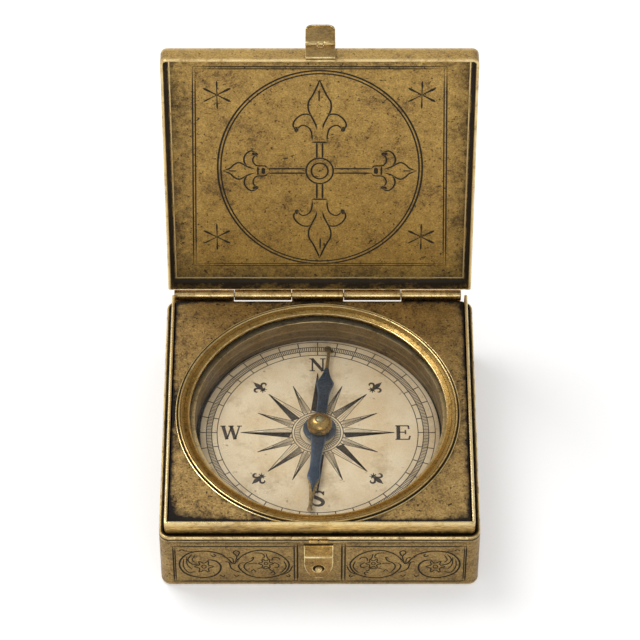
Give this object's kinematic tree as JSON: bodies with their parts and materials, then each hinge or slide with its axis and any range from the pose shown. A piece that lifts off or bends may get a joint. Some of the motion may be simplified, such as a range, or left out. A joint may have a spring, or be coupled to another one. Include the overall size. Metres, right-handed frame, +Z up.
{
  "type": "pocket box compass",
  "caption": "Square brass pocket compass: a box with a glazed compass bowl and free needle, a hinged lid with a folding hasp, and a catch on the front.",
  "frame": {"origin": "middle of the case's flat underside", "axes": "+X along the hinge towards the card's east, +Y from the catch towards the hinge, +Z up"},
  "size_m": [0.075, 0.0979, 0.0934],
  "materials": {
    "case_brass": "aged brass, olive-brown tarnish in the hollows, rubbed bright on the edges",
    "plate_brass": "mottled brass with dark pitted tarnish",
    "ring_brass": "turned brass, rubbed bright",
    "bowl_brass": "dark brown oxidised brass",
    "hinge_brass": "rubbed brass, glossy along the barrel",
    "gilt_tip": "worn gilt brass",
    "steel": "plain polished steel",
    "blued_steel": "heat-blued steel, satin",
    "card_paper": "aged printed paper, faint foxing",
    "glass": "clear flat glass",
    "jewel_stone": "polished pale green-grey cap stone"
  },
  "bodies": {
    "case": {"case_tray": "case_brass", "inner_frame": "case_brass", "top_plate": "plate_brass", "bezel_ring": "ring_brass", "glass_ring": "ring_brass", "glass": "glass", "compass_bowl": "bowl_brass", "compass_card": "card_paper", "pivot_pin": "steel", "pivot_collar": "ring_brass", "case_knuckle_left": "hinge_brass", "case_knuckle_middle": "hinge_brass", "case_knuckle_right": "hinge_brass", "hinge_pin": "steel", "catch_plate": "ring_brass", "catch_bar": "ring_brass", "catch_stud": "ring_brass"},
    "lid": {"lid_shell": "case_brass", "lid_knuckle_left": "hinge_brass", "lid_knuckle_right": "hinge_brass", "hasp_plate": "case_brass", "hasp_pin": "steel"},
    "hasp": {"hasp_leaf": "case_brass"},
    "needle": {"needle_blade": "blued_steel", "needle_hub": "blued_steel", "needle_north_tip": "gilt_tip", "needle_south_tip": "gilt_tip", "needle_cap": "ring_brass", "cap_jewel": "jewel_stone"}
  },
  "joints": [
    {"name": "lid_hinge", "type": "hinge", "parent": "case", "child": "lid", "pos_m": [0, 0.03705, 0.0202], "axis": [1, 0, 0], "range_deg": [0, 98.4]},
    {"name": "hasp_fold", "type": "hinge", "parent": "lid", "child": "hasp", "pos_m": [0.00015, 0.05162, 0.09285], "axis": [1, 0, 0], "range_deg": [0, 180]},
    {"name": "needle_spin", "type": "hinge", "parent": "case", "child": "needle", "pos_m": [0, 0, 0.0144], "axis": [0, 0, 1], "continuous": true}
  ]
}
